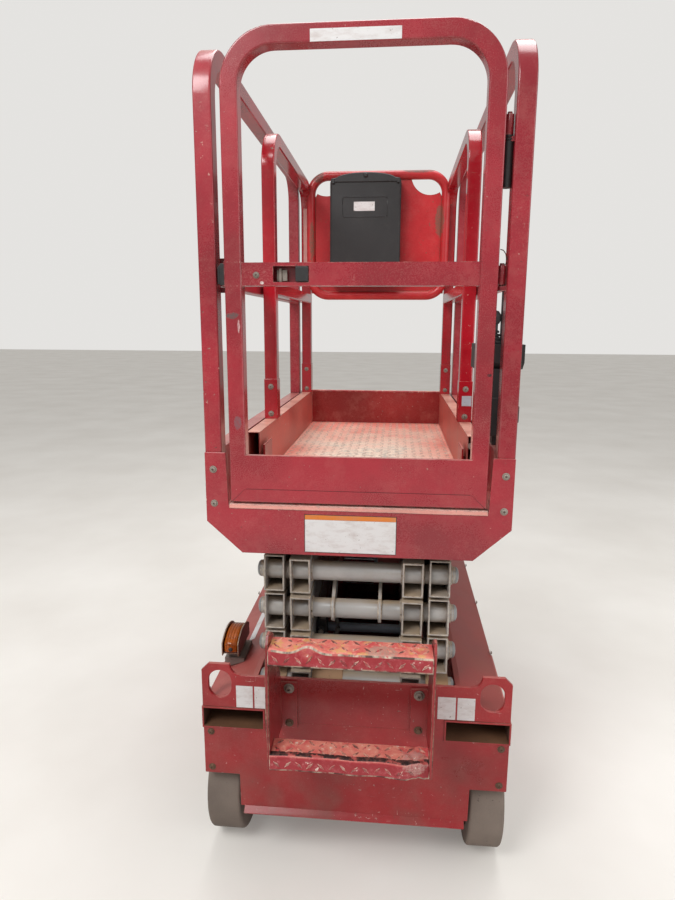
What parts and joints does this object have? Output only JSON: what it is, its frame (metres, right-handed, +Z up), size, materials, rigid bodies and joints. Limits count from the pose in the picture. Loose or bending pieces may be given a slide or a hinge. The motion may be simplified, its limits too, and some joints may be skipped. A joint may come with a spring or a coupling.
{
  "type": "scissor lift",
  "caption": "Compact self-propelled scissor lift with steered solid tyres, a folded arm stack, a railed platform with a swing gate and a slide-out extension deck.",
  "frame": {"origin": "centre of the bounding box at ground level", "axes": "+Y forward, away from the entry ladder; +X to the machine's right; +Z up"},
  "size_m": [0.762, 1.53, 1.979],
  "materials": {
    "red_paint": "worn gloss",
    "dark_red_paint": "worn gloss",
    "grey_paint": "dusty gloss",
    "cylinder_paint": "gloss",
    "chromed_rod": "polished",
    "tyre": "solid, non-marking",
    "rim": "satin",
    "slide_pad": "worn",
    "amber_lens": "clear ribbed",
    "battery_case": "satin",
    "power_unit": "satin",
    "black_plastic": "grained"
  },
  "bodies": {
    "chassis": {"chassis_frame": "red_paint", "rear_plate": "red_paint", "ladder": "red_paint", "front_plate": "red_paint", "side_cover_right": "red_paint", "side_cover_left": "red_paint", "beacon_bracket": "dark_red_paint", "beacon_lens": "amber_lens"},
    "wheel_rear_right": {"tyre_rear_right": "tyre", "rim_rear_right": "rim"},
    "wheel_rear_left": {"tyre_rear_left": "tyre", "rim_rear_left": "rim"},
    "wheel_front_right": {"tyre_front_right": "tyre", "rim_front_right": "rim"},
    "wheel_front_left": {"tyre_front_left": "tyre", "rim_front_left": "rim"},
    "knuckle_right": {"knuckle_right": "red_paint"},
    "knuckle_left": {"knuckle_left": "red_paint"},
    "tie_rod": {"tie_rod": "red_paint"},
    "tray_right": {"tray_right": "red_paint", "power_unit_block": "power_unit"},
    "tray_left": {"tray_left": "red_paint", "battery_block": "battery_case"},
    "guard_right": {"guard_right": "red_paint"},
    "guard_left": {"guard_left": "red_paint"},
    "outer_1": {"arm_outer_1": "grey_paint"},
    "inner_1": {"arm_inner_1": "grey_paint", "slide_pads_base": "slide_pad"},
    "outer_2": {"arm_outer_2": "grey_paint"},
    "inner_2": {"arm_inner_2": "grey_paint"},
    "outer_3": {"arm_outer_3": "grey_paint"},
    "inner_3": {"arm_inner_3": "grey_paint"},
    "outer_4": {"arm_outer_4": "grey_paint", "slide_pads_platform": "slide_pad"},
    "inner_4": {"arm_inner_4": "grey_paint"},
    "barrel": {"lift_barrel": "cylinder_paint"},
    "rod": {"lift_rod": "chromed_rod"},
    "platform": {"platform_frame": "red_paint", "platform_rear_panel": "red_paint", "platform_side_right": "red_paint", "platform_side_left": "red_paint", "main_rail_right": "red_paint", "main_rail_left": "red_paint", "gate_keepers": "red_paint", "control_box": "black_plastic", "lower_box": "black_plastic", "gate_spring": "black_plastic"},
    "gate": {"gate_frame": "red_paint", "gate_latch": "black_plastic"},
    "extension": {"extension_deck": "red_paint", "extension_rail_right": "red_paint", "extension_rail_left": "red_paint", "front_hoop": "red_paint", "document_box": "black_plastic"}
  },
  "joints": [
    {"name": "lift", "type": "hinge", "parent": "chassis", "child": "outer_1", "pos_m": [0, 0.689, 0.479], "axis": [-1, 0, 0], "range_deg": [0, 51.3]},
    {"name": "rear_pin_1", "type": "hinge", "parent": "outer_1", "child": "inner_2", "pos_m": [0, -0.516, 0.578], "axis": [-1, 0, 0], "range_deg": [-102.6, 0]},
    {"name": "front_pin_2", "type": "hinge", "parent": "inner_2", "child": "outer_3", "pos_m": [0, 0.689, 0.677], "axis": [-1, 0, 0], "range_deg": [0, 102.6]},
    {"name": "rear_pin_3", "type": "hinge", "parent": "outer_3", "child": "inner_4", "pos_m": [0, -0.516, 0.776], "axis": [-1, 0, 0], "range_deg": [-102.6, 0]},
    {"name": "front_pin_4", "type": "hinge", "parent": "inner_4", "child": "platform", "pos_m": [0, 0.689, 0.875], "axis": [-1, 0, 0], "range_deg": [0, 51.3]},
    {"name": "centre_pin_1", "type": "hinge", "parent": "outer_1", "child": "inner_1", "pos_m": [0, 0.0865, 0.5285], "axis": [-1, 0, 0], "range_deg": [-102.6, 0]},
    {"name": "centre_pin_2", "type": "hinge", "parent": "inner_2", "child": "outer_2", "pos_m": [0, 0.0865, 0.6275], "axis": [-1, 0, 0], "range_deg": [0, 102.6]},
    {"name": "centre_pin_3", "type": "hinge", "parent": "outer_3", "child": "inner_3", "pos_m": [0, 0.0865, 0.7265], "axis": [-1, 0, 0], "range_deg": [-102.6, 0]},
    {"name": "centre_pin_4", "type": "hinge", "parent": "inner_4", "child": "outer_4", "pos_m": [0, 0.0865, 0.8255], "axis": [-1, 0, 0], "range_deg": [0, 102.6]},
    {"name": "cylinder_foot", "type": "hinge", "parent": "inner_1", "child": "barrel", "pos_m": [0, 0.689, 0.578], "axis": [-1, 0, 0], "range_deg": [0, 101.38]},
    {"name": "cylinder_rod", "type": "slide", "parent": "barrel", "child": "rod", "axis": [0, -0.9892, 0.1465], "range_m": [0, 0.16183]},
    {"name": "steer_left", "type": "hinge", "parent": "chassis", "child": "knuckle_left", "pos_m": [-0.258, 0.6, 0.314], "axis": [0, 0, 1], "range_deg": [-60, 60]},
    {"name": "steer_right", "type": "hinge", "parent": "chassis", "child": "knuckle_right", "pos_m": [0.258, 0.6, 0.314], "axis": [0, 0, 1], "range_deg": [-60, 60]},
    {"name": "tie_rod_pin", "type": "hinge", "parent": "knuckle_left", "child": "tie_rod", "pos_m": [-0.258, 0.505, 0.333], "axis": [0, 0, 1], "range_deg": [-60, 60]},
    {"name": "wheel_rear_left_spin", "type": "hinge", "parent": "chassis", "child": "wheel_rear_left", "pos_m": [-0.336, -0.441, 0.1525], "axis": [1, 0, 0], "continuous": true},
    {"name": "wheel_rear_right_spin", "type": "hinge", "parent": "chassis", "child": "wheel_rear_right", "pos_m": [0.336, -0.441, 0.1525], "axis": [1, 0, 0], "continuous": true},
    {"name": "wheel_front_left_spin", "type": "hinge", "parent": "knuckle_left", "child": "wheel_front_left", "pos_m": [-0.336, 0.6, 0.1525], "axis": [1, 0, 0], "continuous": true},
    {"name": "wheel_front_right_spin", "type": "hinge", "parent": "knuckle_right", "child": "wheel_front_right", "pos_m": [0.336, 0.6, 0.1525], "axis": [1, 0, 0], "continuous": true},
    {"name": "tray_right_swing", "type": "hinge", "parent": "chassis", "child": "tray_right", "pos_m": [0.366, -0.256, 0.27], "axis": [0, 0, -1], "range_deg": [0, 90]},
    {"name": "tray_left_swing", "type": "hinge", "parent": "chassis", "child": "tray_left", "pos_m": [-0.366, -0.256, 0.27], "axis": [0, 0, 1], "range_deg": [0, 90]},
    {"name": "guard_right_drop", "type": "hinge", "parent": "chassis", "child": "guard_right", "pos_m": [0.345, 0.06, 0.118], "axis": [0, -1, 0], "range_deg": [0, 90]},
    {"name": "guard_left_drop", "type": "hinge", "parent": "chassis", "child": "guard_left", "pos_m": [-0.345, 0.06, 0.118], "axis": [0, 1, 0], "range_deg": [0, 90]},
    {"name": "gate_swing", "type": "hinge", "parent": "platform", "child": "gate", "pos_m": [0.308, -0.55, 1.5], "axis": [0, 0, -1], "range_deg": [0, 70]},
    {"name": "extension_slide", "type": "slide", "parent": "platform", "child": "extension", "axis": [0, 1, 0], "range_m": [0, 0.6]}
  ],
  "couplings": [
    {"joint": "rear_pin_1", "follows": "lift", "ratio": -2},
    {"joint": "front_pin_2", "follows": "lift", "ratio": 2},
    {"joint": "rear_pin_3", "follows": "lift", "ratio": -2},
    {"joint": "front_pin_4", "follows": "lift", "ratio": 1},
    {"joint": "centre_pin_1", "follows": "lift", "ratio": -2},
    {"joint": "centre_pin_2", "follows": "lift", "ratio": 2},
    {"joint": "centre_pin_3", "follows": "lift", "ratio": -2},
    {"joint": "centre_pin_4", "follows": "lift", "ratio": 2},
    {"joint": "cylinder_foot", "follows": "lift", "ratio": 1.9762},
    {"joint": "cylinder_rod", "follows": "lift", "m_per_rad": 0.18075},
    {"joint": "steer_right", "follows": "steer_left", "ratio": 1},
    {"joint": "tie_rod_pin", "follows": "steer_left", "ratio": -1},
    {"joint": "guard_right_drop", "follows": "lift", "ratio": 1.7544},
    {"joint": "guard_left_drop", "follows": "lift", "ratio": 1.7544}
  ]
}
